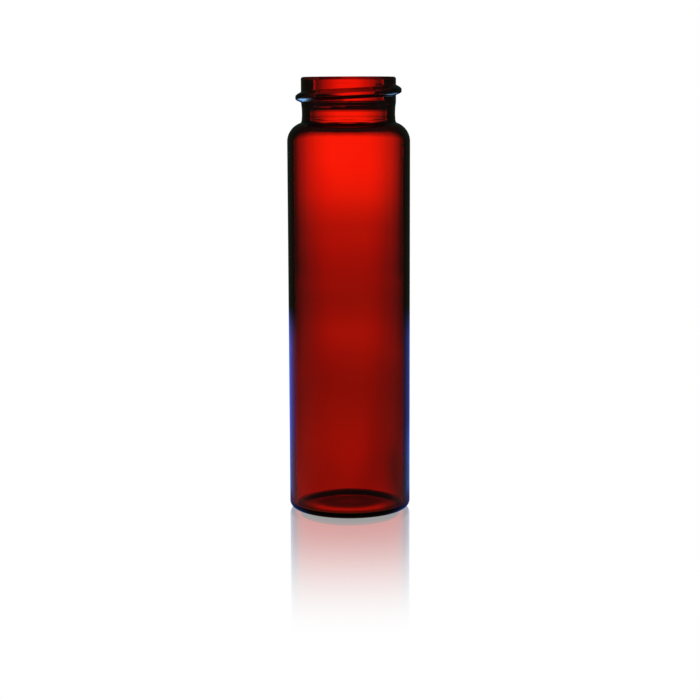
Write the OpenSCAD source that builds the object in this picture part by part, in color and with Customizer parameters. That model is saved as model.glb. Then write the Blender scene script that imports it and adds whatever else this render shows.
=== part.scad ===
// Screw-thread sample vial formed from one length of amber glass tube.
// The glass runs in one piece from a pushed-up base through a straight wall and a round shoulder
// to a necked finish that carries a single-start, right-hand thread for a screw cap.
// The foot stands on Z = 0 and the vial's axis is Z.

/* [Body] */
// Outside diameter of the tube
body_d = 27.5; // [24.5:0.5:34]
// Height from the foot to the sealing lip
total_h = 97.7; // [60:0.1:140]
// Glass thickness of the tube wall
wall_t = 1.4; // [0.9:0.1:1.8]
// Outside radius of the shoulder
shoulder_r = 4.4; // [3.5:0.1:5.5]
// Glass thickness at the crown of the shoulder
crown_t = 0.9; // [0.7:0.1:1.6]

/* [Base] */
// Outside radius of the heel, where the wall turns into the foot
heel_r = 1.5; // [1:0.1:2.4]
// Width of the flat ring that the vial stands on
foot_w = 1; // [0.6:0.1:3]
// Rise of the pushed-up middle of the base
push_up = 1.8; // [0.5:0.1:2.5]
// Glass thickness of the base
base_t = 1.3; // [0.9:0.1:2.5]
// Inside radius between the wall and the base
inner_heel_r = 0.5; // [0.3:0.1:2]

/* [Neck] */
// Outside diameter of the finish, at the root of the thread
finish_d = 21.2; // [20.4:0.1:22.4]
// Height of the finish, from the crown of the shoulder to the lip
finish_h = 9.9; // [9:0.1:13]
// Glass thickness of the mouth, between the root of the thread and the bore
mouth_t = 2.7; // [2.3:0.1:4]
// Depth of the mouth's straight bore below the lip
bore_l = 5.2; // [3:0.1:6]
// Distance by which the bore opens out below the mouth, on each side
flare_w = 0.7; // [0.3:0.1:1]
// Height over which the bore opens out
flare_l = 1.3; // [0.8:0.1:2]
// Depth of the shallow waist below the thread
waist_depth = 0.2; // [0.1:0.05:0.4]
// Radius of the waist's hollow curve
waist_r = 14; // [10:0.5:18]
// Height of the middle of the waist above the crown of the shoulder
waist_h = 1.9; // [1.5:0.1:2.5]
// Radius of the corner between neck and shoulder
neck_fillet_r = 0.6; // [0.3:0.1:1]
// Radius of the rounded edge inside, where the bore opens into the body
throat_r = 1.5; // [0.6:0.1:2]

/* [Lip] */
// Radius of the lip's outer edge
lip_outer_r = 0.5; // [0.2:0.1:0.8]
// Radius of the lip's inner edge
lip_inner_r = 0.8; // [0.3:0.1:1.2]

/* [Thread] */
// Diameter over the thread
thread_d = 23.7; // [22.8:0.1:24.4]
// Rise of the thread in one turn
thread_pitch = 3.175; // [2.5:0.025:4]
// Width of the bead's flat crest
crest_w = 0.5; // [0.2:0.05:0.8]
// Height of the bead's upper flank
upper_flank = 1; // [0.6:0.05:1.3]
// Height of the bead's lower flank
lower_flank = 0.75; // [0.5:0.05:1.2]
// Depth of the crest's middle below the lip, where the thread crosses the +X side
thread_drop = 3; // [2.6:0.1:3.4]
// Turn of the thread above the +X side, in degrees
upper_turn = 45; // [20:5:90]
// Turn of the thread below the +X side, in degrees
lower_turn = 270; // [200:5:320]
// Turn over which each end of the thread sinks into the neck, in degrees
run_out = 30; // [20:5:60]

/* [Hidden] */

$fn = 180;
eps = 0.01;

body_r = body_d / 2;
inner_r = body_r - wall_t;
finish_r = finish_d / 2;
bore_r = finish_r - mouth_t;
neck_bore_r = bore_r + flare_w;

function unit(v) = v / norm(v);
function across(v) = [-v[1], v[0]];

// Shoulder: its crown is a finish height below the lip, and inside it is rounded about the same height
crown_z = total_h - finish_h;
shoulder = [body_r - shoulder_r, crown_z - shoulder_r];
inner_shoulder_r = shoulder_r - crown_t;
inner_shoulder = [inner_r - inner_shoulder_r, shoulder[1]];
ceiling_z = crown_z - crown_t;

// Base: two spherical caps on one centre, the pushed-up underside and the inside of the base
foot_inner_r = body_r - heel_r - foot_w;
under_r = (foot_inner_r * foot_inner_r + push_up * push_up) / (2 * push_up);
cap_z = push_up - under_r;
floor_r = under_r + base_t;

// Inside heel: a round that touches the wall and the inside of the base
inner_heel = [
    inner_r - inner_heel_r,
    cap_z + sqrt(pow(floor_r + inner_heel_r, 2) - pow(inner_r - inner_heel_r, 2))
];

// Waist: a hollow arc turned into the neck, and the neck's radius at a height
waist = [finish_r - waist_depth + waist_r, crown_z + waist_h];
waist_top_z = waist[1] + sqrt(pow(waist_r, 2) - pow(waist_r - waist_depth, 2));
function neck_r(z) =
    z > waist_top_z ? finish_r : waist[0] - sqrt(pow(waist_r, 2) - pow(z - waist[1], 2));

// Neck fillet: a round that touches the waist from inside and the shoulder from outside,
// or the flat crown where the shoulder is wide enough to have one
function meet(a, ra, b, rb) =
    let (d = norm(b - a), along = (d * d + ra * ra - rb * rb) / (2 * d))
    a + along * unit(b - a) - sqrt(ra * ra - along * along) * across(unit(b - a));

round_fillet = meet(waist, waist_r - neck_fillet_r, shoulder, shoulder_r + neck_fillet_r);
flat_fillet_z = crown_z + neck_fillet_r;
flat_fillet = [
    waist[0] - sqrt(pow(waist_r - neck_fillet_r, 2) - pow(waist[1] - flat_fillet_z, 2)),
    flat_fillet_z
];
fillet_on_round = round_fillet[0] > shoulder[0];
neck_fillet = fillet_on_round ? round_fillet : flat_fillet;
fillet_foot = fillet_on_round
    ? shoulder + shoulder_r * unit(neck_fillet - shoulder)
    : [neck_fillet[0], crown_z];

// Throat: a round edge that touches the bore and the inside of the shoulder, or its flat ceiling
throat_x = neck_bore_r + throat_r;
throat_on_round = throat_x > inner_shoulder[0];
throat = [
    throat_x,
    throat_on_round
        ? inner_shoulder[1] + sqrt(pow(throat_r + inner_shoulder_r, 2) - pow(throat_x - inner_shoulder[0], 2))
        : ceiling_z + throat_r
];
throat_foot = throat_on_round
    ? inner_shoulder + inner_shoulder_r * unit(throat - inner_shoulder)
    : [throat_x, ceiling_z];

// Flare: two arcs of one radius that lead from the mouth's bore out to the wider bore of the neck
flare_r = (flare_l * flare_l + flare_w * flare_w) / (4 * flare_w);
flare_top_z = total_h - bore_l;
flare_mid_z = flare_top_z - flare_l / 2;
flare_foot_z = flare_top_z - flare_l;

// Thread: rings of points along the helix, each ring a section of the bead and its root in the neck.
// The root lies bead_root inside the neck's surface, and the feet of the flanks lie bead_sink inside it.
thread_step = 6;
thread_rings = ceil((upper_turn + lower_turn) / thread_step);
flank_steps = 4;
bead_root = 0.7;
bead_sink = 0.1;

// Fills a hollow corner: the sides of the fillet meet its round at the points from and to
module web(from, corner, to, centre, radius) {
    difference() {
        polygon([from, corner, to, centre]);
        translate(centre) circle(radius);
    }
}

// A quarter of a disc, in the first quadrant
module quarter(radius) {
    intersection() {
        circle(radius);
        square(radius);
    }
}

// The sliver outside a quarter round, in the corner at the origin
module corner_sliver(radius) {
    difference() {
        translate([-eps, -eps]) square(radius + eps);
        translate([radius, radius]) circle(radius);
    }
}

// Half section of the outside, from the foot to the lip
module outside_section() {
    difference() {
        union() {
            translate([0, heel_r]) square([body_r, shoulder[1] - heel_r]);
            square([body_r - heel_r, heel_r]);
            translate([body_r - heel_r, heel_r]) mirror([0, 1]) quarter(heel_r);
            translate([0, shoulder[1]]) square([shoulder[0], shoulder_r]);
            translate(shoulder) quarter(shoulder_r);
            neck_section();
        }
        translate([0, cap_z]) circle(under_r);
    }
}

// Half section of the neck, with its waist, its lip and its fillet to the shoulder
module neck_section() {
    difference() {
        translate([0, shoulder[1]]) square([finish_r, total_h - shoulder[1]]);
        translate(waist) circle(waist_r);
        translate([finish_r, total_h]) rotate(180) corner_sliver(lip_outer_r);
    }
    web(
        fillet_foot,
        [neck_fillet[0] - shoulder_r / 2, shoulder[1] + shoulder_r / 2],
        waist + waist_r * unit(neck_fillet - waist),
        neck_fillet,
        neck_fillet_r
    );
}

// Half section of the hollow, from the inside of the base to the mouth
module hollow_section() {
    difference() {
        union() {
            square([inner_r, shoulder[1]]);
            translate([0, shoulder[1]]) square([inner_shoulder[0], inner_shoulder_r]);
            translate(inner_shoulder) quarter(inner_shoulder_r);
            bore_section();
        }
        translate([0, cap_z]) circle(floor_r);
        web(
            [inner_r, inner_heel[1]],
            [inner_r, inner_heel[1] - 2 * inner_heel_r],
            [0, cap_z] + floor_r * unit(inner_heel - [0, cap_z]),
            inner_heel,
            inner_heel_r
        );
    }
}

// Half section of the bore, from the throat over the flare to the rounded inner edge of the lip
module bore_section() {
    translate([0, shoulder[1]]) square([neck_bore_r, flare_foot_z - shoulder[1]]);
    translate([0, shoulder[1]]) square([bore_r, total_h - shoulder[1] + eps]);
    translate([bore_r, total_h]) mirror([0, 1]) corner_sliver(lip_inner_r);
    web([neck_bore_r, throat[1]], [neck_bore_r, shoulder[1]], throat_foot, throat, throat_r);
    web(
        [bore_r, flare_top_z],
        [bore_r, flare_mid_z],
        [bore_r + flare_w / 2, flare_mid_z],
        [bore_r + flare_r, flare_top_z],
        flare_r
    );
    intersection() {
        translate([neck_bore_r - flare_r, flare_foot_z]) circle(flare_r);
        translate([0, flare_foot_z - eps]) square([neck_bore_r, flare_l / 2 + eps]);
    }
}

// The thread: a bead with rounded flanks swept along the helix, sinking into the neck at both ends
module thread_bead() {
    function ease(share) = let (s = max(0, min(1, share))) s * s * (3 - 2 * s);
    function fade(turn) = ease(min(upper_turn - turn, turn + lower_turn) / run_out);
    function bead_z(turn) = total_h - thread_drop + thread_pitch * turn / 360;
    function spot(r, turn, z) = [r * cos(turn), r * sin(turn), z];
    function skin(turn, lift, share) =
        let (
            z = bead_z(turn) + lift,
            rise = (thread_d - finish_d) / 2 + bead_sink
        )
        spot(neck_r(z) - bead_sink + rise * sin(90 * share) * fade(turn), turn, z);
    foot = -crest_w / 2 - lower_flank;
    head = crest_w / 2 + upper_flank;
    shares = [for (k = [0 : flank_steps]) k / flank_steps];
    function section(turn) = concat(
        [for (s = shares) skin(turn, foot + lower_flank * s, s)],
        [for (s = shares) skin(turn, crest_w / 2 + upper_flank * s, 1 - s)],
        [for (lift = [head, foot]) spot(finish_r - bead_root, turn, bead_z(turn) + lift)]
    );
    turn_step = (upper_turn + lower_turn) / thread_rings;
    rings = [for (i = [0 : thread_rings]) section(-lower_turn + turn_step * i)];
    n = len(rings[0]);
    sides = [
        for (i = [0 : thread_rings - 1], k = [0 : n - 1])
            let (next = (k + 1) % n)
            each [
                [i * n + k, i * n + next, (i + 1) * n + next],
                [i * n + k, (i + 1) * n + next, (i + 1) * n + k]
            ]
    ];
    lower_end = [for (k = [n - 1 : -1 : 0]) k];
    upper_end = [for (k = [0 : n - 1]) thread_rings * n + k];
    polyhedron(
        points = [for (ring = rings) each ring],
        faces = concat([lower_end], sides, [upper_end])
    );
}

module glass_vial() {
    color([0.62, 0.07, 0.01, 0.75]) {
        rotate_extrude() difference() {
            outside_section();
            hollow_section();
        }
        thread_bead();
    }
}

glass_vial();
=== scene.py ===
"""An empty amber glass sample vial with a screw-thread neck, standing on a pale reflecting table.

The vial is one closed surface of revolution: its half section runs from the middle of the underside, over
the foot, heel, wall, shoulder, neck and lip, and back down the inside to the middle of the base. The
thread is a relief on the neck. The vial's lengths are in millimetres, the stage's and the finish's in
metres, and meshes are in metres.
"""

import logging
import math
from dataclasses import dataclass, field
from enum import Enum

import bpy
import numpy as np
from mathutils import Matrix


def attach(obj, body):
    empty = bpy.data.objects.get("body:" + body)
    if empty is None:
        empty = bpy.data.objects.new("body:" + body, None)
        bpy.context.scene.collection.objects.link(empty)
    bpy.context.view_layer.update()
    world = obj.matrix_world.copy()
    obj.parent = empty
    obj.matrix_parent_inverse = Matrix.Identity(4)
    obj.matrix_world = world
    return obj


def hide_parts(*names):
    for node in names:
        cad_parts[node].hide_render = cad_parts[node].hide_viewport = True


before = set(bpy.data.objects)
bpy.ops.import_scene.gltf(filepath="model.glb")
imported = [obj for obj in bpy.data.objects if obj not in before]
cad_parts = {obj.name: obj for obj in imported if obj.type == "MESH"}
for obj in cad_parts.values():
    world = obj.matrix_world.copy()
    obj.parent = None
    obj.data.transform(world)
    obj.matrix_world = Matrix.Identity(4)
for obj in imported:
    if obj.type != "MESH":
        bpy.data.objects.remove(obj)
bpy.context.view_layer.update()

LOG = logging.getLogger("sample_vial")
MM = 0.001
SAME_POINT = 1e-4
PHOTO_SIDE = 700

# Limits that a count passes when it is at least one, or at least two.
AT_LEAST_ONE = 0.5
AT_LEAST_TWO = 1.5

Array = np.ndarray
Socket = bpy.types.NodeSocket
Colour = tuple[float, float, float]
Range = tuple[float, float]
Stops = tuple[tuple[float, float], ...]


class Slot(Enum):
    """The record's material slots."""

    AMBER_GLASS = "amber_glass"


class Region(Enum):
    """Stretches of the half section that get their own relief."""

    PLAIN = 0
    NECK = 1
    INSIDE = 2


class Sight(Enum):
    """Ways in which a ray of light can reach the table or the backdrop."""

    MIRRORED = "mirrored"
    THROUGH_GLASS = "through_glass"
    OFF_GLASS = "off_glass"
    TRAPPED = "trapped"


class Wires:
    """Places shader nodes in a tree and joins them."""

    def __init__(self, tree: bpy.types.NodeTree) -> None:
        """Empties the tree and keeps it.

        Args:
            tree: The node tree to fill.
        """
        self.tree = tree
        tree.nodes.clear()

    def add(self, kind: str, **settings: object) -> bpy.types.Node:
        """Adds a node.

        Args:
            kind: The node's type name.
            settings: Properties to set on the node.

        Returns:
            The new node.
        """
        node = self.tree.nodes.new(kind)
        for name, value in settings.items():
            setattr(node, name, value)
        return node

    def feed(self, socket: Socket, value: object) -> None:
        """Joins a socket to another node's output, or sets its plain value.

        Args:
            socket: The input socket.
            value: An output socket, a number, or a colour as red, green and blue.
        """
        if isinstance(value, bpy.types.NodeSocket):
            self.tree.links.new(value, socket)
        elif isinstance(value, tuple):
            socket.default_value = (*value, 1.0)
        else:
            socket.default_value = value

    def math(self, operation: str, *values: object) -> Socket:
        """Adds a Math node.

        Args:
            operation: The node's operation.
            values: One to three inputs, each a number or an output socket.

        Returns:
            The node's output.
        """
        node = self.add("ShaderNodeMath", operation=operation)
        for socket, value in zip(node.inputs, values):
            self.feed(socket, value)
        return node.outputs[0]

    def product(self, first: object, *others: object) -> Socket:
        """Multiplies numbers and outputs, one after the other.

        Args:
            first: A number or output.
            others: One or more numbers or outputs.

        Returns:
            The product.
        """
        result = first
        for other in others:
            result = self.math("MULTIPLY", result, other)
        return result

    def dimmed(self, value: object, mask: object, loss: float) -> Socket:
        """Weakens a value under a mask: the value times one less the mask's share of the loss.

        Args:
            value: The number or output to weaken.
            mask: Where it is weakened, from 0 to 1.
            loss: The share that is lost where the mask is 1.

        Returns:
            The weakened value.
        """
        return self.product(value, self.math("MULTIPLY_ADD", mask, -loss, 1.0))

    def span(self, value: object, ends: Range) -> Socket:
        """Maps a value to 0 at the first end and 1 at the second, eased, and held flat beyond them.

        Args:
            value: The number or output to map.
            ends: The value that gives 0 and the value that gives 1.

        Returns:
            The mapped output.
        """
        node = self.add("ShaderNodeMapRange", interpolation_type="SMOOTHSTEP", clamp=True)
        self.feed(node.inputs["Value"], value)
        node.inputs["From Min"].default_value, node.inputs["From Max"].default_value = ends
        return node.outputs["Result"]

    def mix(self, factor: object, first: object, second: object) -> Socket:
        """Mixes two colours.

        A Mix node has sockets of the same name for each kind of data, so those for colours are taken by
        number.

        Args:
            factor: The share of the second colour.
            first: A colour or output.
            second: A colour or output.

        Returns:
            The mixed colour.
        """
        node = self.add("ShaderNodeMix", data_type="RGBA")
        self.feed(node.inputs[0], factor)
        self.feed(node.inputs[6], first)
        self.feed(node.inputs[7], second)
        return node.outputs[2]

    def distance(self, across: object, along: object) -> Socket:
        """Gives the distance of a place on the table from the origin.

        Args:
            across: Place along X.
            along: Place along Y.

        Returns:
            The distance.
        """
        place = self.add("ShaderNodeCombineXYZ")
        self.feed(place.inputs["X"], across)
        self.feed(place.inputs["Y"], along)
        length = self.add("ShaderNodeVectorMath", operation="LENGTH")
        self.feed(length.inputs[0], place.outputs[0])
        return length.outputs["Value"]

    def curve(self, value: object, stops: Stops) -> Socket:
        """Maps a value from 0 to 1 along a ramp of greys.

        Args:
            value: The position along the ramp.
            stops: Pairs of position and grey.

        Returns:
            The ramp's grey.
        """
        node = self.add("ShaderNodeValToRGB")
        ramp = node.color_ramp
        ramp.interpolation = "CARDINAL"
        while len(ramp.elements) < len(stops):
            ramp.elements.new(1.0)
        for element, (place, grey) in zip(ramp.elements, stops):
            element.position = place
            element.color = (grey, grey, grey, 1.0)
        self.feed(node.inputs[0], value)
        return node.outputs[0]


def arc(centre: tuple[float, float], radius: float, start: float, end: float, count: int) -> Array:
    """Points on a circle: centre plus radius times the cosine and sine of evenly spaced angles.

    Args:
        centre: The circle's centre, as radius and height.
        radius: The circle's radius.
        start: First angle in degrees, from the outward direction.
        end: Last angle in degrees.
        count: Number of steps.

    Returns:
        Points as rows of radius and height, both ends included.
    """
    angle = np.radians(np.linspace(start, end, count + 1))
    return np.stack([centre[0] + radius * np.cos(angle), centre[1] + radius * np.sin(angle)], axis=1)


def run(start: tuple[float, float], end: tuple[float, float], count: int) -> Array:
    """Points on a straight line between two ends, evenly spaced.

    Args:
        start: First point, as radius and height.
        end: Last point.
        count: Number of steps.

    Returns:
        Points as rows of radius and height, both ends included.
    """
    share = np.linspace(0.0, 1.0, count + 1)[:, None]
    return np.asarray(start) * (1 - share) + np.asarray(end) * share


def bearing(centre: Array, point: Array) -> float:
    """The angle in degrees at which a point lies as seen from a centre."""
    return math.degrees(math.atan2(point[1] - centre[1], point[0] - centre[0]))


def eased(share: Array) -> Array:
    """Eases a share from 0 to 1: three times its square less twice its cube, held flat beyond the ends."""
    share = np.clip(share, 0.0, 1.0)
    return share * share * (3.0 - 2.0 * share)


def rounded(share: Array) -> Array:
    """Rounds a share from 0 to 1: the sine of a quarter turn times the share, held flat beyond the ends."""
    return np.sin(np.clip(share, 0.0, 1.0) * np.pi / 2.0)


@dataclass(frozen=True)
class AmberGlass:
    """Clear amber glass: a stained skin, colour by depth, and faint lines from drawing the tube.

    Heights and depths are in metres. A range runs from where something is absent to where it is full.
    """

    refraction: float = 1.5
    skin_roughness: float = 0.006
    facing_sheen: float = 0.25
    stain: Colour = (1.0, 0.116, 0.006)
    stain_deep: Colour = (0.96, 0.093, 0.003)
    cloud_scale: float = 60.0
    cloud_detail: float = 1.0
    cloud_range: Range = (0.35, 0.65)
    depth_colour: Colour = (0.925, 0.7, 0.01)
    depth_density: float = 400.0
    line_scale: float = 260.0
    line_detail: float = 2.0
    line_stretch: float = 0.06
    line_strength: float = 0.05
    line_depth: float = 0.0004
    line_start: Range = (0.004, 0.008)
    foot_scuff: float = 0.12
    foot_scuff_range: Range = (0.0009, 0.0001)

    def make(self) -> bpy.types.Material:
        """Builds the material.

        Each skin that light crosses stains it, and the path in the glass deepens the colour.

        Returns:
            The glass material.
        """
        material = bpy.data.materials.new("amber_glass")
        material.use_nodes = True
        wires = Wires(material.node_tree)
        skin = wires.add("ShaderNodeBsdfPrincipled")
        skin.inputs["IOR"].default_value = self.refraction
        skin.inputs["Transmission Weight"].default_value = 1.0
        skin.inputs["Metallic"].default_value = 0.0
        skin.inputs["Specular Tint"].default_value = (self.facing_sheen,) * 3 + (1.0,)
        depth = wires.add("ShaderNodeVolumeAbsorption")
        depth.inputs["Color"].default_value = (*self.depth_colour, 1.0)
        depth.inputs["Density"].default_value = self.depth_density
        place = wires.add("ShaderNodeTexCoord").outputs["Object"]
        height = wires.add("ShaderNodeSeparateXYZ")
        wires.feed(height.inputs[0], place)
        wires.feed(skin.inputs["Base Color"], self._stain(wires, place))
        wires.feed(skin.inputs["Normal"], self._drawn_lines(wires, place, height.outputs["Z"]))
        wires.feed(skin.inputs["Roughness"], self._scuffed_foot(wires, height.outputs["Z"]))
        out = wires.add("ShaderNodeOutputMaterial")
        wires.feed(out.inputs["Surface"], skin.outputs[0])
        wires.feed(out.inputs["Volume"], depth.outputs[0])
        return material

    def _stain(self, wires: Wires, place: Socket) -> Socket:
        """Colours the skin, in slow clouds of a lighter and a deeper stain.

        Args:
            wires: The material's wires.
            place: Object coordinates.

        Returns:
            The colour.
        """
        clouds = wires.add("ShaderNodeTexNoise")
        clouds.inputs["Scale"].default_value = self.cloud_scale
        clouds.inputs["Detail"].default_value = self.cloud_detail
        wires.feed(clouds.inputs["Vector"], place)
        return wires.mix(wires.span(clouds.outputs[0], self.cloud_range), self.stain, self.stain_deep)

    def _drawn_lines(self, wires: Wires, place: Socket, height: Socket) -> Socket:
        """Tilts the skin along the faint lines of the drawn tube, which begin above the heel.

        Args:
            wires: The material's wires.
            place: Object coordinates.
            height: Height above the foot.

        Returns:
            The normal.
        """
        stretch = wires.add("ShaderNodeMapping")
        stretch.inputs["Scale"].default_value = (1.0, 1.0, self.line_stretch)
        wires.feed(stretch.inputs["Vector"], place)
        lines = wires.add("ShaderNodeTexNoise")
        lines.inputs["Scale"].default_value = self.line_scale
        lines.inputs["Detail"].default_value = self.line_detail
        wires.feed(lines.inputs["Vector"], stretch.outputs[0])
        bump = wires.add("ShaderNodeBump")
        bump.inputs["Strength"].default_value = self.line_strength
        bump.inputs["Distance"].default_value = self.line_depth
        wall = wires.span(height, self.line_start)
        wires.feed(bump.inputs["Height"], wires.product(lines.outputs[0], wall))
        return bump.outputs[0]

    def _scuffed_foot(self, wires: Wires, height: Socket) -> Socket:
        """Makes the foot a little duller than the rest, where it slides on tables.

        Args:
            wires: The material's wires.
            height: Height above the foot.

        Returns:
            The roughness.
        """
        scuff = wires.product(wires.span(height, self.foot_scuff_range), self.foot_scuff)
        return wires.math("ADD", scuff, self.skin_roughness)


@dataclass
class GlassVial:
    """The vial: one piece of glass from foot to lip.

    Lengths are in millimetres and the thread's turns in degrees. The bore's oval turns and twists by
    radians, each twist for a millimetre of height.
    """

    finish: AmberGlass = field(default_factory=AmberGlass)
    body_d: float = 27.5
    total_h: float = 97.7
    wall_t: float = 1.4
    shoulder_r: float = 4.4
    crown_t: float = 0.9
    heel_r: float = 1.5
    foot_w: float = 1.0
    push_up: float = 1.8
    base_t: float = 1.3
    inner_heel_r: float = 0.5
    finish_d: float = 21.2
    finish_h: float = 9.9
    mouth_t: float = 2.7
    bore_l: float = 5.2
    flare_w: float = 0.7
    flare_l: float = 1.3
    waist_depth: float = 0.2
    waist_r: float = 14.0
    waist_h: float = 1.9
    neck_fillet_r: float = 0.6
    throat_r: float = 1.5
    lip_outer_r: float = 0.5
    lip_inner_r: float = 0.8
    thread_d: float = 23.7
    thread_pitch: float = 3.175
    crest_w: float = 0.5
    upper_flank: float = 1.0
    lower_flank: float = 0.75
    thread_drop: float = 3.0
    upper_turn: float = 45.0
    lower_turn: float = 270.0
    run_out: float = 30.0
    ripple: float = 0.03
    oval_share: float = 0.6
    oval_turn: float = 0.9
    oval_twist: float = 0.05
    lobe_share: float = 0.4
    lobe_twist: float = 0.11
    segments: int = 240

    def crown_z(self) -> float:
        """Height of the crown of the shoulder."""
        return self.total_h - self.finish_h

    def shoulder(self) -> Array:
        """Centre of the shoulder's round, as radius and height."""
        return np.array([self.body_d / 2 - self.shoulder_r, self.crown_z() - self.shoulder_r])

    def inner_r(self) -> float:
        """Radius of the inside wall."""
        return self.body_d / 2 - self.wall_t

    def inner_shoulder_r(self) -> float:
        """Radius of the shoulder's hollow round on the inside."""
        return self.shoulder_r - self.crown_t

    def inner_shoulder(self) -> Array:
        """Centre of the shoulder's hollow round on the inside, as radius and height."""
        return np.array([self.inner_r() - self.inner_shoulder_r(), self.shoulder()[1]])

    def bore_r(self) -> float:
        """Radius of the mouth's bore."""
        return self.finish_d / 2 - self.mouth_t

    def neck_bore_r(self) -> float:
        """Radius of the bore below its flare."""
        return self.bore_r() + self.flare_w

    def throat(self) -> Array:
        """Centre of the throat's round, which touches the bore's wall and the inner shoulder.

        It lies one throat radius out from the bore, and as far from the inner shoulder's centre as the two
        radii together.

        Returns:
            The centre, as radius and height.
        """
        hollow = self.inner_shoulder()
        throat_x = self.neck_bore_r() + self.throat_r
        apart = self.throat_r + self.inner_shoulder_r()
        return np.array([throat_x, hollow[1] + math.sqrt(apart**2 - (throat_x - hollow[0]) ** 2)])

    def foot_r(self) -> float:
        """Outer radius of the flat foot ring."""
        return self.body_d / 2 - self.heel_r

    def hollow_r(self) -> float:
        """Inner radius of the flat foot ring, where the pushed-up base begins."""
        return self.foot_r() - self.foot_w

    def under_r(self) -> float:
        """Radius of the pushed-up underside, a shallow dome as wide as the foot ring and push_up high."""
        return (self.hollow_r() ** 2 + self.push_up**2) / (2 * self.push_up)

    def waist(self) -> Array:
        """Centre of the waist's hollow curve, as radius and height."""
        return np.array([self.finish_d / 2 - self.waist_depth + self.waist_r, self.crown_z() + self.waist_h])

    def neck_fillet(self) -> Array:
        """Centre of the fillet between neck and shoulder.

        It lies where a circle about the waist's centre, smaller by the fillet's radius, meets a circle
        about the shoulder's centre, larger by it.

        Returns:
            The centre, as radius and height.
        """
        first, second = self.waist(), self.shoulder()
        reach, other = self.waist_r - self.neck_fillet_r, self.shoulder_r + self.neck_fillet_r
        apart = float(np.linalg.norm(second - first))
        along = (apart**2 + reach**2 - other**2) / (2 * apart)
        line = (second - first) / apart
        side = np.array([-line[1], line[0]])
        return first + along * line - math.sqrt(reach**2 - along**2) * side

    def outside(self) -> list[tuple[Array, Region]]:
        """The outer half of the section, from the middle of the underside to the lip.

        The last number of each stretch is its number of steps.

        Returns:
            Stretches of points with the region that each belongs to.
        """
        body_r, finish_r = self.body_d / 2, self.finish_d / 2
        foot_r, hollow_r, under_r = self.foot_r(), self.hollow_r(), self.under_r()
        under_edge = math.degrees(math.asin(hollow_r / under_r))
        shoulder, waist, fillet = self.shoulder(), self.waist(), self.neck_fillet()
        foot_of_fillet = bearing(shoulder, fillet)
        top_of_fillet = bearing(fillet, waist) - 180.0
        waist_start = bearing(waist, fillet)
        waist_rise = math.sqrt(self.waist_r**2 - (self.waist_r - self.waist_depth) ** 2)
        waist_end = 180.0 - math.degrees(math.asin(waist_rise / self.waist_r))
        lip = self.total_h - self.lip_outer_r
        return [
            (arc((0.0, self.push_up - under_r), under_r, 90.0, 90.0 - under_edge, 16), Region.PLAIN),
            (run((hollow_r, 0.0), (foot_r, 0.0), 4), Region.PLAIN),
            (arc((foot_r, self.heel_r), self.heel_r, -90.0, 0.0, 14), Region.PLAIN),
            (run((body_r, self.heel_r), (body_r, shoulder[1]), 24), Region.PLAIN),
            (arc(tuple(shoulder), self.shoulder_r, 0.0, foot_of_fillet, 30), Region.PLAIN),
            (arc(tuple(fillet), self.neck_fillet_r, foot_of_fillet - 180.0, top_of_fillet, 9), Region.PLAIN),
            (arc(tuple(waist), self.waist_r, waist_start % 360.0, waist_end, 38), Region.NECK),
            (run((finish_r, waist[1] + waist_rise), (finish_r, lip), 74), Region.NECK),
            (arc((finish_r - self.lip_outer_r, lip), self.lip_outer_r, 0.0, 90.0, 8), Region.PLAIN),
        ]

    def inside(self) -> list[tuple[Array, Region]]:
        """The inner half of the section, from the lip to the middle of the base.

        The last number of each stretch is its number of steps.

        Returns:
            Stretches of points with the region that each belongs to.
        """
        bore_r, neck_r, inner_r = self.bore_r(), self.neck_bore_r(), self.inner_r()
        bore_z = self.total_h - self.bore_l
        flare_r = (self.flare_l**2 + self.flare_w**2) / (4 * self.flare_w)
        flare_turn = math.degrees(2 * math.atan(self.flare_w / self.flare_l))
        floor_r, floor_z = self.under_r() + self.base_t, self.push_up - self.under_r()
        hollow, throat = self.inner_shoulder(), self.throat()
        heel_x = inner_r - self.inner_heel_r
        heel = np.array([heel_x, floor_z + math.sqrt((floor_r + self.inner_heel_r) ** 2 - heel_x**2)])
        floor_edge = bearing(np.array([0.0, floor_z]), heel)
        land_r = self.finish_d / 2 - self.lip_outer_r
        lip = (bore_r + self.lip_inner_r, self.total_h - self.lip_inner_r)
        return [
            (run((land_r, self.total_h), (lip[0], self.total_h), 3), Region.PLAIN),
            (arc(lip, self.lip_inner_r, 90.0, 180.0, 9), Region.PLAIN),
            (run((bore_r, lip[1]), (bore_r, bore_z), 10), Region.INSIDE),
            (arc((bore_r + flare_r, bore_z), flare_r, 180.0, 180.0 + flare_turn, 8), Region.INSIDE),
            (arc((neck_r - flare_r, bore_z - self.flare_l), flare_r, flare_turn, 0.0, 8), Region.INSIDE),
            (run((neck_r, bore_z - self.flare_l), (neck_r, throat[1]), 6), Region.INSIDE),
            (arc(tuple(throat), self.throat_r, 180.0, bearing(throat, hollow) + 360.0, 14), Region.INSIDE),
            (arc(tuple(hollow), self.inner_shoulder_r(), bearing(hollow, throat), 0.0, 24), Region.INSIDE),
            (run((inner_r, hollow[1]), (inner_r, heel[1]), 24), Region.INSIDE),
            (arc(tuple(heel), self.inner_heel_r, 0.0, floor_edge - 180.0, 12), Region.INSIDE),
            (arc((0.0, floor_z), floor_r, floor_edge, 90.0, 14), Region.PLAIN),
        ]

    def section(self) -> tuple[Array, Array]:
        """The whole half section without its two points on the axis and without repeated points.

        Returns:
            Points as rows of radius and height, and the region number of each.
        """
        stretches = self.outside() + self.inside()
        points = np.concatenate([s for s, _ in stretches])
        regions = np.concatenate([np.full(len(s), region.value) for s, region in stretches])
        gap = np.linalg.norm(np.diff(points, axis=0), axis=1)
        keep = np.concatenate([[True], gap > SAME_POINT])
        return points[keep][1:-1], regions[keep][1:-1]

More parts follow.
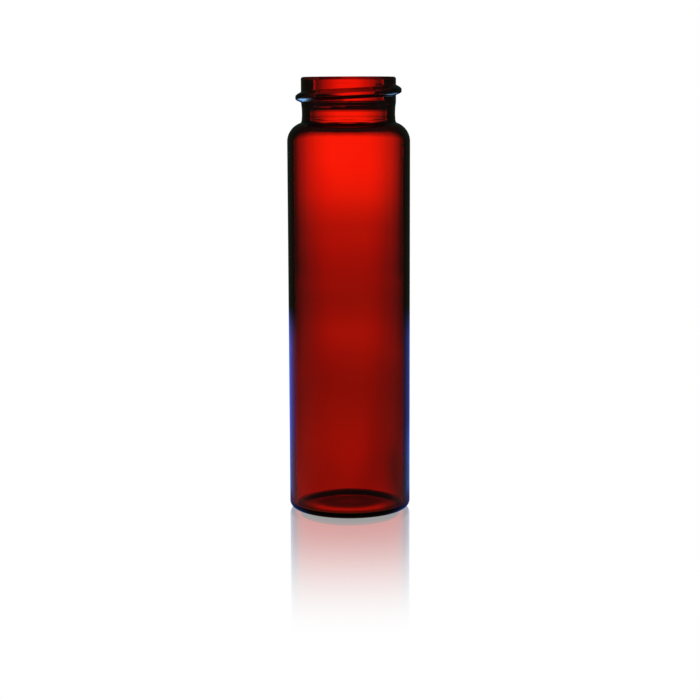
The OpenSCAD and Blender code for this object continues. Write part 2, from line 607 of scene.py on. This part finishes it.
    def bead_rise(self, turn: Array, height: Array) -> Array:
        """Height of the thread's bead above the neck.

        The bead's middle rises by the pitch each turn. Its crest is flat and its flanks are rounded, the
        lower one shorter, and its height eases to nothing at both ends of the thread over the run-out.

        Args:
            turn: Turn along the thread in degrees, 0 at the +X side.
            height: Height above the foot.

        Returns:
            The bead's height at each point.
        """
        middle = self.total_h - self.thread_drop + self.thread_pitch * turn / 360.0
        above = height - middle
        upper = rounded((self.crest_w / 2.0 + self.upper_flank - above) / self.upper_flank)
        lower = rounded((self.crest_w / 2.0 + self.lower_flank + above) / self.lower_flank)
        grown = eased(np.minimum(self.upper_turn - turn, turn + self.lower_turn) / self.run_out)
        return (self.thread_d - self.finish_d) / 2.0 * upper * lower * grown

    def bore_wave(self, turn: Array, height: Array) -> Array:
        """Unevenness of the inside wall, as a drawn tube's bore has, from -1 to 1.

        It is the sine of two turns plus the sine of three, each weighted by its share and twisting slowly
        with height: the first makes the bore oval, the second gives it three lobes.

        Args:
            turn: Angle around the axis in radians.
            height: Height above the foot.

        Returns:
            The wave at each point.
        """
        oval = np.sin(2 * turn + self.oval_turn + self.oval_twist * height)
        lobes = np.sin(3 * turn - self.lobe_twist * height)
        return self.oval_share * oval + self.lobe_share * lobes

    def surface(self) -> Array:
        """The vial's surface on a grid of section points by angle.

        The radius is the section's own, raised by the thread on the neck, and on the inside shifted by
        the ripple times the bore's wave.

        Returns:
            Grid of points, section by segment by three, in millimetres.
        """
        points, regions = self.section()
        angle = np.linspace(-180.0, 180.0, self.segments, endpoint=False)[None, :]
        radius = np.repeat(points[:, :1], self.segments, axis=1)
        height = np.repeat(points[:, 1:], self.segments, axis=1)
        bead = np.maximum(self.bead_rise(angle, height), self.bead_rise(angle - 360.0, height))
        neck = (regions == Region.NECK.value)[:, None]
        radius = radius + np.where(neck, bead, 0.0)
        turn = np.radians(angle)
        inside = (regions == Region.INSIDE.value)[:, None]
        radius = radius + np.where(inside, self.ripple * self.bore_wave(turn, height), 0.0)
        return np.stack([radius * np.cos(turn), radius * np.sin(turn), height], axis=2)

    def mesh(self) -> bpy.types.Mesh:
        """Puts the surface into a closed mesh: quads between rows, and a fan at each end on the axis.

        Returns:
            The mesh, in metres, with its faces pointing out of the glass.
        """
        grid = self.surface()
        rows, cols = grid.shape[:2]
        poles = np.array([[0.0, 0.0, self.push_up], [0.0, 0.0, self.push_up + self.base_t]])
        vertices = np.concatenate([grid.reshape(-1, 3), poles]) * MM
        row, col = np.meshgrid(np.arange(rows - 1), np.arange(cols), indexing="ij")
        after = (col + 1) % cols
        quads = np.stack(
            [row * cols + col, row * cols + after, (row + 1) * cols + after, (row + 1) * cols + col], axis=2
        ).reshape(-1, 4)
        ring = np.arange(cols)
        following = (ring + 1) % cols
        under, floor = rows * cols, rows * cols + 1
        last = (rows - 1) * cols
        first_fan = np.stack([np.full(cols, under), following, ring], axis=1)
        last_fan = np.stack([last + ring, last + following, np.full(cols, floor)], axis=1)
        mesh = bpy.data.meshes.new("vial_of_amber_glass")
        mesh.from_pydata(vertices.tolist(), [], quads.tolist() + first_fan.tolist() + last_fan.tolist())
        mesh.polygons.foreach_set("use_smooth", np.ones(len(mesh.polygons), dtype=bool))
        mesh.update()
        return mesh

    def build(self) -> bpy.types.Object:
        """Makes the vial, dresses it and sets it on the frame in place of the plain solid.

        Returns:
            The vial's object.
        """
        piece = bpy.data.objects.new("vial_of_amber_glass", self.mesh())
        bpy.context.scene.collection.objects.link(piece)
        piece.data.materials.append(self.finish.make())
        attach(piece, "root")
        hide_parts("glass_vial")
        return piece


@dataclass(frozen=True)
class Strips:
    """Soft upright strips of light, which stand evenly around the vial."""

    name: str = "upright_strips"
    count: int = 8
    fall: Stops = ((0.0, 1.0), (0.1, 1.0), (0.25, 0.72), (0.4, 0.48), (0.64, 0.28), (1.0, 0.1))

    def group(self) -> bpy.types.NodeTree:
        """The strips' node group, made once.

        The angle of a place around the vial is folded into its distance from the nearest strip, and a
        ramp turns that into brightness: 1 on a strip, falling towards the middle between two strips.

        Returns:
            The group, with the inputs Across and Along and the output Brightness.
        """
        if self.name in bpy.data.node_groups:
            return bpy.data.node_groups[self.name]
        group = bpy.data.node_groups.new(self.name, "ShaderNodeTree")
        for name in ("Across", "Along"):
            group.interface.new_socket(name, in_out="INPUT", socket_type="NodeSocketFloat")
        group.interface.new_socket("Brightness", in_out="OUTPUT", socket_type="NodeSocketColor")
        wires = Wires(group)
        place = wires.add("NodeGroupInput")
        half = math.pi / self.count
        angle = wires.math("ARCTAN2", place.outputs["Across"], place.outputs["Along"])
        off = wires.math("DIVIDE", wires.math("PINGPONG", angle, half), half)
        wires.feed(wires.add("NodeGroupOutput").inputs["Brightness"], wires.curve(off, self.fall))
        return group

    def place(self, wires: Wires, across: Socket, along: Socket) -> Socket:
        """Places the strips in a material or world.

        Args:
            wires: The wires of the material or world.
            across: Place or direction along X.
            along: Place or direction along Y.

        Returns:
            The strips' brightness.
        """
        node = wires.add("ShaderNodeGroup", node_tree=self.group())
        wires.feed(node.inputs["Across"], across)
        wires.feed(node.inputs["Along"], along)
        return node.outputs["Brightness"]


@dataclass
class StageLight:
    """What the table and the backdrop have in common: the light they send along each kind of ray.

    A range runs from where something is absent to where it is full. It is in metres on the table, and a
    part of a direction of length one in the backdrop. Turns are in radians.
    """

    strips: Strips = field(default_factory=Strips)
    white: Colour = (1.0, 1.0, 1.0)
    shade: Colour = (0.004, 0.006, 0.005)
    sheen: Colour = (0.022, 0.036, 0.028)
    front_sheen: Colour = (0.13, 0.2, 0.2)
    glow: float = 1.13

    def sights(self, wires: Wires) -> dict[Sight, Socket]:
        """Tells how a ray came, by what it has passed.

        A ray that the table has mirrored has crossed the clear sheet above the table twice, and that
        reflection isn't counted.

        Args:
            wires: The wires of the material or world.

        Returns:
            Masks, 0 or 1, for each way except the direct one, which is the rest.
        """
        path = wires.add("ShaderNodeLightPath").outputs
        mirrored = wires.math("GREATER_THAN", path["Transparent Depth"], AT_LEAST_TWO)
        bounces = wires.math("SUBTRACT", path["Glossy Depth"], mirrored)
        bounced = wires.math("GREATER_THAN", bounces, AT_LEAST_ONE)
        entered = wires.math("GREATER_THAN", path["Transmission Depth"], AT_LEAST_ONE)
        missed = wires.math("SUBTRACT", 1.0, entered)
        clear = wires.math("SUBTRACT", 1.0, bounced)
        return {
            Sight.MIRRORED: mirrored,
            Sight.THROUGH_GLASS: wires.product(entered, clear),
            Sight.OFF_GLASS: wires.product(missed, bounced),
            Sight.TRAPPED: wires.product(entered, bounced),
        }

    def lit(self, wires: Wires, sight: dict[Sight, Socket], clear: Socket, reflected: Socket,
            trapped: Socket) -> Socket:
        """The light along each kind of ray: white for direct ones, and one colour for each other way.

        Args:
            wires: The wires of the material or world.
            sight: The masks of the ways in which a ray can come.
            clear: Light for rays that came straight through the glass.
            reflected: Light for rays that the glass has reflected.
            trapped: Light for rays that were reflected inside the glass.

        Returns:
            The colour.
        """
        colour = wires.mix(sight[Sight.THROUGH_GLASS], self.white, clear)
        colour = wires.mix(sight[Sight.OFF_GLASS], colour, reflected)
        return wires.mix(sight[Sight.TRAPPED], colour, trapped)


@dataclass
class Backdrop(StageLight):
    """The white surroundings, with strips of light up to eye level for rays that the glass has bent."""

    level_reach: float = 0.2
    level_glow: Stops = (
        (0.0, 1.0), (0.06, 0.95), (0.15, 0.62), (0.25, 0.4),
        (0.35, 0.2), (0.45, 0.03), (0.6, 0.01), (1.0, 0.01))
    front_glow: float = 0.35
    front_side: Range = (0.0, -0.4)
    front_rise: Range = (0.02, 0.12)
    front_sheen_side: Range = (0.62, -0.32)
    mirrored_glow: Colour = (0.62, 2.8, 0.6)
    mirrored_shade: Colour = (0.17, 0.15, 0.17)
    mirrored_sheen: Colour = (0.6, 0.8, 1.25)
    mirrored_sheen_side: Range = (-0.3, 0.5)

    def build(self) -> None:
        """Makes the backdrop. The vial's image in the table gets light of its own."""
        world = bpy.data.worlds.new("soft_backdrop")
        bpy.context.scene.world = world
        world.use_nodes = True
        world.cycles.sampling_method = "NONE"
        wires = Wires(world.node_tree)
        direction = wires.add("ShaderNodeSeparateXYZ")
        wires.feed(direction.inputs[0], wires.add("ShaderNodeTexCoord").outputs["Generated"])
        sight = self.sights(wires)
        mirrored = sight[Sight.MIRRORED]
        clear = wires.mix(mirrored, self.through_glass(wires, direction), self.mirrored_glow)
        reflected = self.off_glass(wires, direction, mirrored)
        trapped = wires.mix(mirrored, self.shade, self.mirrored_shade)
        light = wires.add("ShaderNodeBackground")
        wires.feed(light.inputs["Color"], self.lit(wires, sight, clear, reflected, trapped))
        out = wires.add("ShaderNodeOutputWorld")
        wires.feed(out.inputs["Surface"], light.outputs[0])

    def through_glass(self, wires: Wires, direction: bpy.types.Node) -> Socket:
        """Light that is seen through the glass: the strips all round, and a weak light above the front.

        Args:
            wires: The world's wires.
            direction: The node that gives the ray's direction.

        Returns:
            The brightness.
        """
        across, along, up = direction.outputs
        level = wires.math("DIVIDE", up, self.level_reach)
        upright = wires.product(self.strips.place(wires, across, along), wires.curve(level, self.level_glow))
        front = wires.product(
            wires.span(along, self.front_side), self.front_glow, wires.span(up, self.front_rise))
        return wires.product(wires.math("MAXIMUM", upright, front), self.glow)

    def off_glass(self, wires: Wires, direction: bpy.types.Node, mirrored: Socket) -> Socket:
        """Light that the glass reflects: a faint sheen, stronger from the front, and pale at mirrored edges.

        Args:
            wires: The world's wires.
            direction: The node that gives the ray's direction.
            mirrored: The mask of rays that the table has mirrored.

        Returns:
            The colour.
        """
        along = direction.outputs["Y"]
        sheen = wires.mix(wires.span(along, self.front_sheen_side), self.sheen, self.front_sheen)
        edges = wires.product(mirrored, wires.span(along, self.mirrored_sheen_side))
        return wires.mix(edges, sheen, self.mirrored_sheen)


@dataclass(frozen=True)
class Spot:
    """Outputs that tell where a place on the table is.

    Across and along are X and Y, and far is the distance from the vial's axis. Near is 1 on the part of
    the table that low reflections show, and right is 1 to the right of the vial.
    """

    across: Socket
    along: Socket
    far: Socket
    near: Socket
    right: Socket


@dataclass(frozen=True)
class CoolLight:
    """The cool light on the table behind the vial, which its sides reflect.

    Lengths and reaches are in metres, the spread is in radians, and the steep view is a share of facing.
    """

    hue: Colour = (0.08, 0.28, 1.5)
    near_hue: Colour = (0.1, 0.28, 0.85)
    near_reach: Range = (0.12, 0.04)
    foot_hue: Colour = (0.04, 0.09, 0.36)
    foot_reach: Range = (0.03, 0.018)
    steep_hue: Colour = (1.0, 2.0, 3.4)
    steep_view: Range = (0.75, 0.55)
    steep_reach: Range = (0.02, 0.03)
    half_width: float = 0.0137
    setback: float = 0.004
    spread: Range = (1.25, 0.35)
    start: Range = (-0.011, -0.006)
    right_loss: float = 0.55
    right_reach: Range = (0.06, 0.12)

    def over(self, wires: Wires, spot: Spot, plain: Socket) -> Socket:
        """Lays the cool light over a plain sheen.

        It fills a band as wide as the vial behind it and spreads to both sides by an angle, in radians. It
        is blue far out, paler near the vial and dark blue at the foot, weaker far out on the right, and
        bright where the table is met steeply, as under the thread.

        Args:
            wires: The table's wires.
            spot: The place on the table.
            plain: The sheen elsewhere.

        Returns:
            The colour.
        """
        off_axis = wires.math("ABSOLUTE", spot.across)
        beside = wires.math("MAXIMUM", wires.math("SUBTRACT", off_axis, self.half_width), 0.0)
        behind = wires.math("ADD", wires.math("MAXIMUM", spot.along, 0.0), self.setback)
        aside = wires.span(wires.math("ARCTAN2", beside, behind), self.spread)
        strength = wires.product(spot.near, aside, wires.span(spot.along, self.start))
        far_right = wires.product(spot.right, wires.span(spot.far, self.right_reach))
        strength = wires.dimmed(strength, far_right, self.right_loss)
        hue = wires.mix(wires.span(spot.far, self.near_reach), self.hue, self.near_hue)
        hue = wires.mix(wires.span(spot.far, self.foot_reach), hue, self.foot_hue)
        facing = wires.add("ShaderNodeLayerWeight").outputs["Facing"]
        steep = wires.product(wires.span(facing, self.steep_view), wires.span(spot.far, self.steep_reach))
        return wires.mix(strength, plain, wires.mix(steep, hue, self.steep_hue))


@dataclass
class Table(StageLight):
    """The pale table, which mirrors near the vial, and the clear sheet that lies on it."""

    cool: CoolLight = field(default_factory=CoolLight)
    radius: float = 8.0
    drop: float = 0.00006
    sheet_drop: float = 0.00003
    rim_points: int = 128
    near_reach: Range = (0.39, 0.25)
    right_side: Range = (0.0, 0.02)
    far_reach: float = 2.0
    far_glow: Stops = (
        (0.0, 0.28), (0.011, 0.28), (0.03, 0.33), (0.055, 0.275), (0.09, 0.25), (0.14, 0.36),
        (0.175, 0.3), (0.22, 0.295), (0.34, 0.42), (0.44, 0.5), (0.585, 0.75), (0.75, 0.91), (1.0, 1.0))
    strip_near: float = 0.34
    strip_near_right: float = 0.32
    strip_near_halves: Range = (-0.01, 0.01)
    strip_near_reach: Range = (0.0, 0.06)
    strip_middle: float = 0.84
    strip_middle_reach: Range = (0.1, 0.3)
    strip_far_reach: Range = (0.3, 0.55)
    # Painted shadow under the vial, with a painted ring of light in it, weaker at both sides.
    under_reach: float = 0.015
    under_glow: Stops = ((0.0, 0.09), (0.48, 0.09), (0.66, 0.41), (0.8, 0.14), (1.0, 0.1))
    under_back: float = 0.004
    under_side_shade: float = 0.55
    under_sides: Range = (0.006, 0.009)
    foot_edge: Range = (0.0142, 0.0125)
    # Painted shade on the table to the right behind the vial: how much it takes, its lean, edge, reach and
    # start.
    right_loss: float = 0.65
    right_shade_lean: float = 0.1
    right_shade_edge: Range = (0.006, 0.0138)
    right_shade_reach: Range = (0.09, 0.02)
    right_shade_start: Range = (-0.002, 0.006)
    front_sheen_turn: Range = (0.9, 1.9)
    front_sheen_gap: Range = (0.0135, 0.022)
    low_glow: Colour = (0.08, 0.08, 0.08)
    low_glow_right: Colour = (0.02, 0.02, 0.02)
    polish: float = 0.66
    polish_roughness: float = 0.02
    polish_reach: Range = (0.098, 0.012)
    polish_view: Range = (0.35, 0.75)

    def build(self) -> None:
        """Makes the table and the clear sheet."""
        self.disc("pale_table", self.drop, self.pale())
        self.disc("clear_sheet", self.sheet_drop, self.glaze())

    def disc(self, name: str, drop: float, material: bpy.types.Material) -> None:
        """Makes a flat disc under the vial: a fan of triangles around its middle.

        Args:
            name: The disc's name.
            drop: How far it lies below the foot.
            material: The disc's material.
        """
        angle = np.linspace(0.0, 2.0 * np.pi, self.rim_points, endpoint=False)
        ring = np.stack([np.cos(angle), np.sin(angle), np.zeros_like(angle)], axis=1) * self.radius
        vertices = np.concatenate([ring, np.zeros((1, 3))]) - np.array([0.0, 0.0, drop])
        index = np.arange(self.rim_points)
        middle = np.full_like(index, self.rim_points)
        faces = np.stack([index, (index + 1) % self.rim_points, middle], axis=1)
        mesh = bpy.data.meshes.new(name)
        mesh.from_pydata(vertices.tolist(), [], faces.tolist())
        mesh.update()
        mesh.materials.append(material)
        disc = bpy.data.objects.new(name, mesh)
        bpy.context.scene.collection.objects.link(disc)

    def glaze(self) -> bpy.types.Material:
        """The clear sheet's material, which changes no light and only counts the rays that cross it.

        Returns:
            The material.
        """
        material = bpy.data.materials.new("clear_sheet")
        material.use_nodes = True
        wires = Wires(material.node_tree)
        out = wires.add("ShaderNodeOutputMaterial")
        wires.feed(out.inputs["Surface"], wires.add("ShaderNodeBsdfTransparent").outputs[0])
        return material

    def pale(self) -> bpy.types.Material:
        """The table's material: its own light, and a mirror of the vial that fades with distance.

        Returns:
            The material.
        """
        material = bpy.data.materials.new("pale_table")
        material.use_nodes = True
        material.cycles.emission_sampling = "NONE"
        wires = Wires(material.node_tree)
        spot = self.spot(wires)
        clear, reflected = self.through_glass(wires, spot), self.off_glass(wires, spot)
        trapped = wires.mix(spot.near, self.shade, wires.mix(spot.right, self.low_glow, self.low_glow_right))
        light = wires.add("ShaderNodeEmission")
        wires.feed(light.inputs["Color"], self.lit(wires, self.sights(wires), clear, reflected, trapped))
        mirror = wires.add("ShaderNodeBsdfGlossy")
        mirror.inputs["Color"].default_value = (*self.white, 1.0)
        mirror.inputs["Roughness"].default_value = self.polish_roughness
        seen = wires.add("ShaderNodeLightPath").outputs["Is Camera Ray"]
        grazing = wires.span(wires.add("ShaderNodeLayerWeight").outputs["Facing"], self.polish_view)
        blend = wires.add("ShaderNodeMixShader")
        polish = wires.product(wires.span(spot.far, self.polish_reach), grazing, self.polish, seen)
        wires.feed(blend.inputs[0], polish)
        wires.feed(blend.inputs[1], light.outputs[0])
        wires.feed(blend.inputs[2], mirror.outputs[0])
        out = wires.add("ShaderNodeOutputMaterial")
        wires.feed(out.inputs["Surface"], blend.outputs[0])
        return material

    def spot(self, wires: Wires) -> Spot:
        """Tells where a place on the table is.

        Args:
            wires: The table's wires.

        Returns:
            The place's outputs.
        """
        split = wires.add("ShaderNodeSeparateXYZ")
        wires.feed(split.inputs[0], wires.add("ShaderNodeTexCoord").outputs["Object"])
        across, along, _ = split.outputs
        far = wires.distance(across, along)
        near, right = wires.span(far, self.near_reach), wires.span(across, self.right_side)
        return Spot(across, along, far, near, right)

    def through_glass(self, wires: Wires, spot: Spot) -> Socket:
        """Light that is seen through the glass: it grows with distance, and the strips stand out in it.

        The strips are faint close to the vial and full far away. The table has painted shade on the right
        behind the vial, and under the vial a glow of its own, painted as a shadow with a ring of light.

        Args:
            wires: The table's wires.
            spot: The place on the table.

        Returns:
            The brightness.
        """
        halves = wires.span(spot.across, self.strip_near_halves)
        near = wires.product(
            wires.math("MULTIPLY_ADD", halves, self.strip_near_right, self.strip_near),
            wires.span(spot.far, self.strip_near_reach))
        middle = wires.product(wires.span(spot.far, self.strip_middle_reach), self.strip_middle)
        depth = wires.math("MAXIMUM", near, middle)
        depth = wires.math("MAXIMUM", depth, wires.span(spot.far, self.strip_far_reach))
        strip = wires.mix(depth, self.white, self.strips.place(wires, spot.across, spot.along))
        share = wires.math("DIVIDE", spot.far, self.far_reach)
        glow = wires.product(strip, wires.curve(share, self.far_glow))
        # Inside the foot, the table's glow gives way to the painted shadow and ring of light under the vial.
        glow = wires.mix(wires.span(spot.far, self.foot_edge), glow, self.under_vial(wires, spot))
        # Painted shade on the table to the right behind the vial, leaning outwards with distance.
        beyond = wires.math("MULTIPLY_ADD", spot.along, -self.right_shade_lean, spot.across)
        dark = wires.product(
            wires.span(beyond, self.right_shade_edge),
            wires.span(spot.far, self.right_shade_reach),
            wires.span(spot.along, self.right_shade_start))
        return wires.product(wires.dimmed(glow, dark, self.right_loss), self.glow)

    def under_vial(self, wires: Wires, spot: Spot) -> Socket:
        """Painted shadow and light under the vial: a ring of glow around a point a little behind its axis,
        weaker at both sides.

        Args:
            wires: The table's wires.
            spot: The place on the table.

        Returns:
            The brightness.
        """
        off_middle = wires.distance(spot.across, wires.math("SUBTRACT", spot.along, self.under_back))
        ring = wires.curve(wires.math("DIVIDE", off_middle, self.under_reach), self.under_glow)
        # Painted shade at both sides of the ring.
        sides = wires.span(wires.math("ABSOLUTE", spot.across), self.under_sides)
        return wires.dimmed(ring, sides, self.under_side_shade)

    def off_glass(self, wires: Wires, spot: Spot) -> Socket:
        """Light that the glass reflects: a faint sheen, stronger in front, and the cool light behind.

        Args:
            wires: The table's wires.
            spot: The place on the table.

        Returns:
            The colour.
        """
        turn = wires.math("ARCTAN2", wires.math("ABSOLUTE", spot.across), spot.along)
        front = wires.product(
            wires.span(turn, self.front_sheen_turn), wires.span(spot.far, self.front_sheen_gap))
        return self.cool.over(wires, spot, wires.mix(front, self.sheen, self.front_sheen))


@dataclass
class Camera:
    """The camera, level with the lip in front of the vial. Lengths are in metres, angles in degrees."""

    focal_px: float = 1696.2
    sensor_mm: float = 36.0
    clip: Range = (0.01, 100.0)
    distance: float = 0.38211
    height: float = 0.09388
    pitch: float = 8.578
    roll: float = -0.208
    yaw: float = -0.021

    def build(self) -> None:
        """Places the camera, looking slightly down."""
        lens = bpy.data.cameras.new("camera")
        lens.sensor_width = self.sensor_mm
        lens.lens = self.focal_px / PHOTO_SIDE * self.sensor_mm
        lens.clip_start, lens.clip_end = self.clip
        camera = bpy.data.objects.new("camera", lens)
        place = Matrix.Translation((0.0, -self.distance, self.height))
        turn = Matrix.Rotation(math.radians(self.yaw), 4, "Z")
        tilt = Matrix.Rotation(math.radians(90.0 - self.pitch), 4, "X")
        roll = Matrix.Rotation(math.radians(self.roll), 4, "Z")
        camera.matrix_world = place @ turn @ tilt @ roll
        bpy.context.scene.collection.objects.link(camera)
        bpy.context.scene.camera = camera


@dataclass
class Studio:
    """The backdrop, the table and the camera."""

    backdrop: Backdrop = field(default_factory=Backdrop)
    table: Table = field(default_factory=Table)
    camera: Camera = field(default_factory=Camera)

    def build(self) -> None:
        """Sets up the three, and shows colours without a film's curve."""
        self.backdrop.build()
        self.table.build()
        self.camera.build()
        bpy.context.scene.view_settings.view_transform = "Standard"


def main() -> None:
    """Builds the studio and the vial."""
    logging.basicConfig(level=logging.INFO, format="%(name)s: %(message)s")
    Studio().build()
    piece = GlassVial().build()
    LOG.info("%s: %d faces", piece.name, len(piece.data.polygons))


if __name__ == "__main__":
    main()
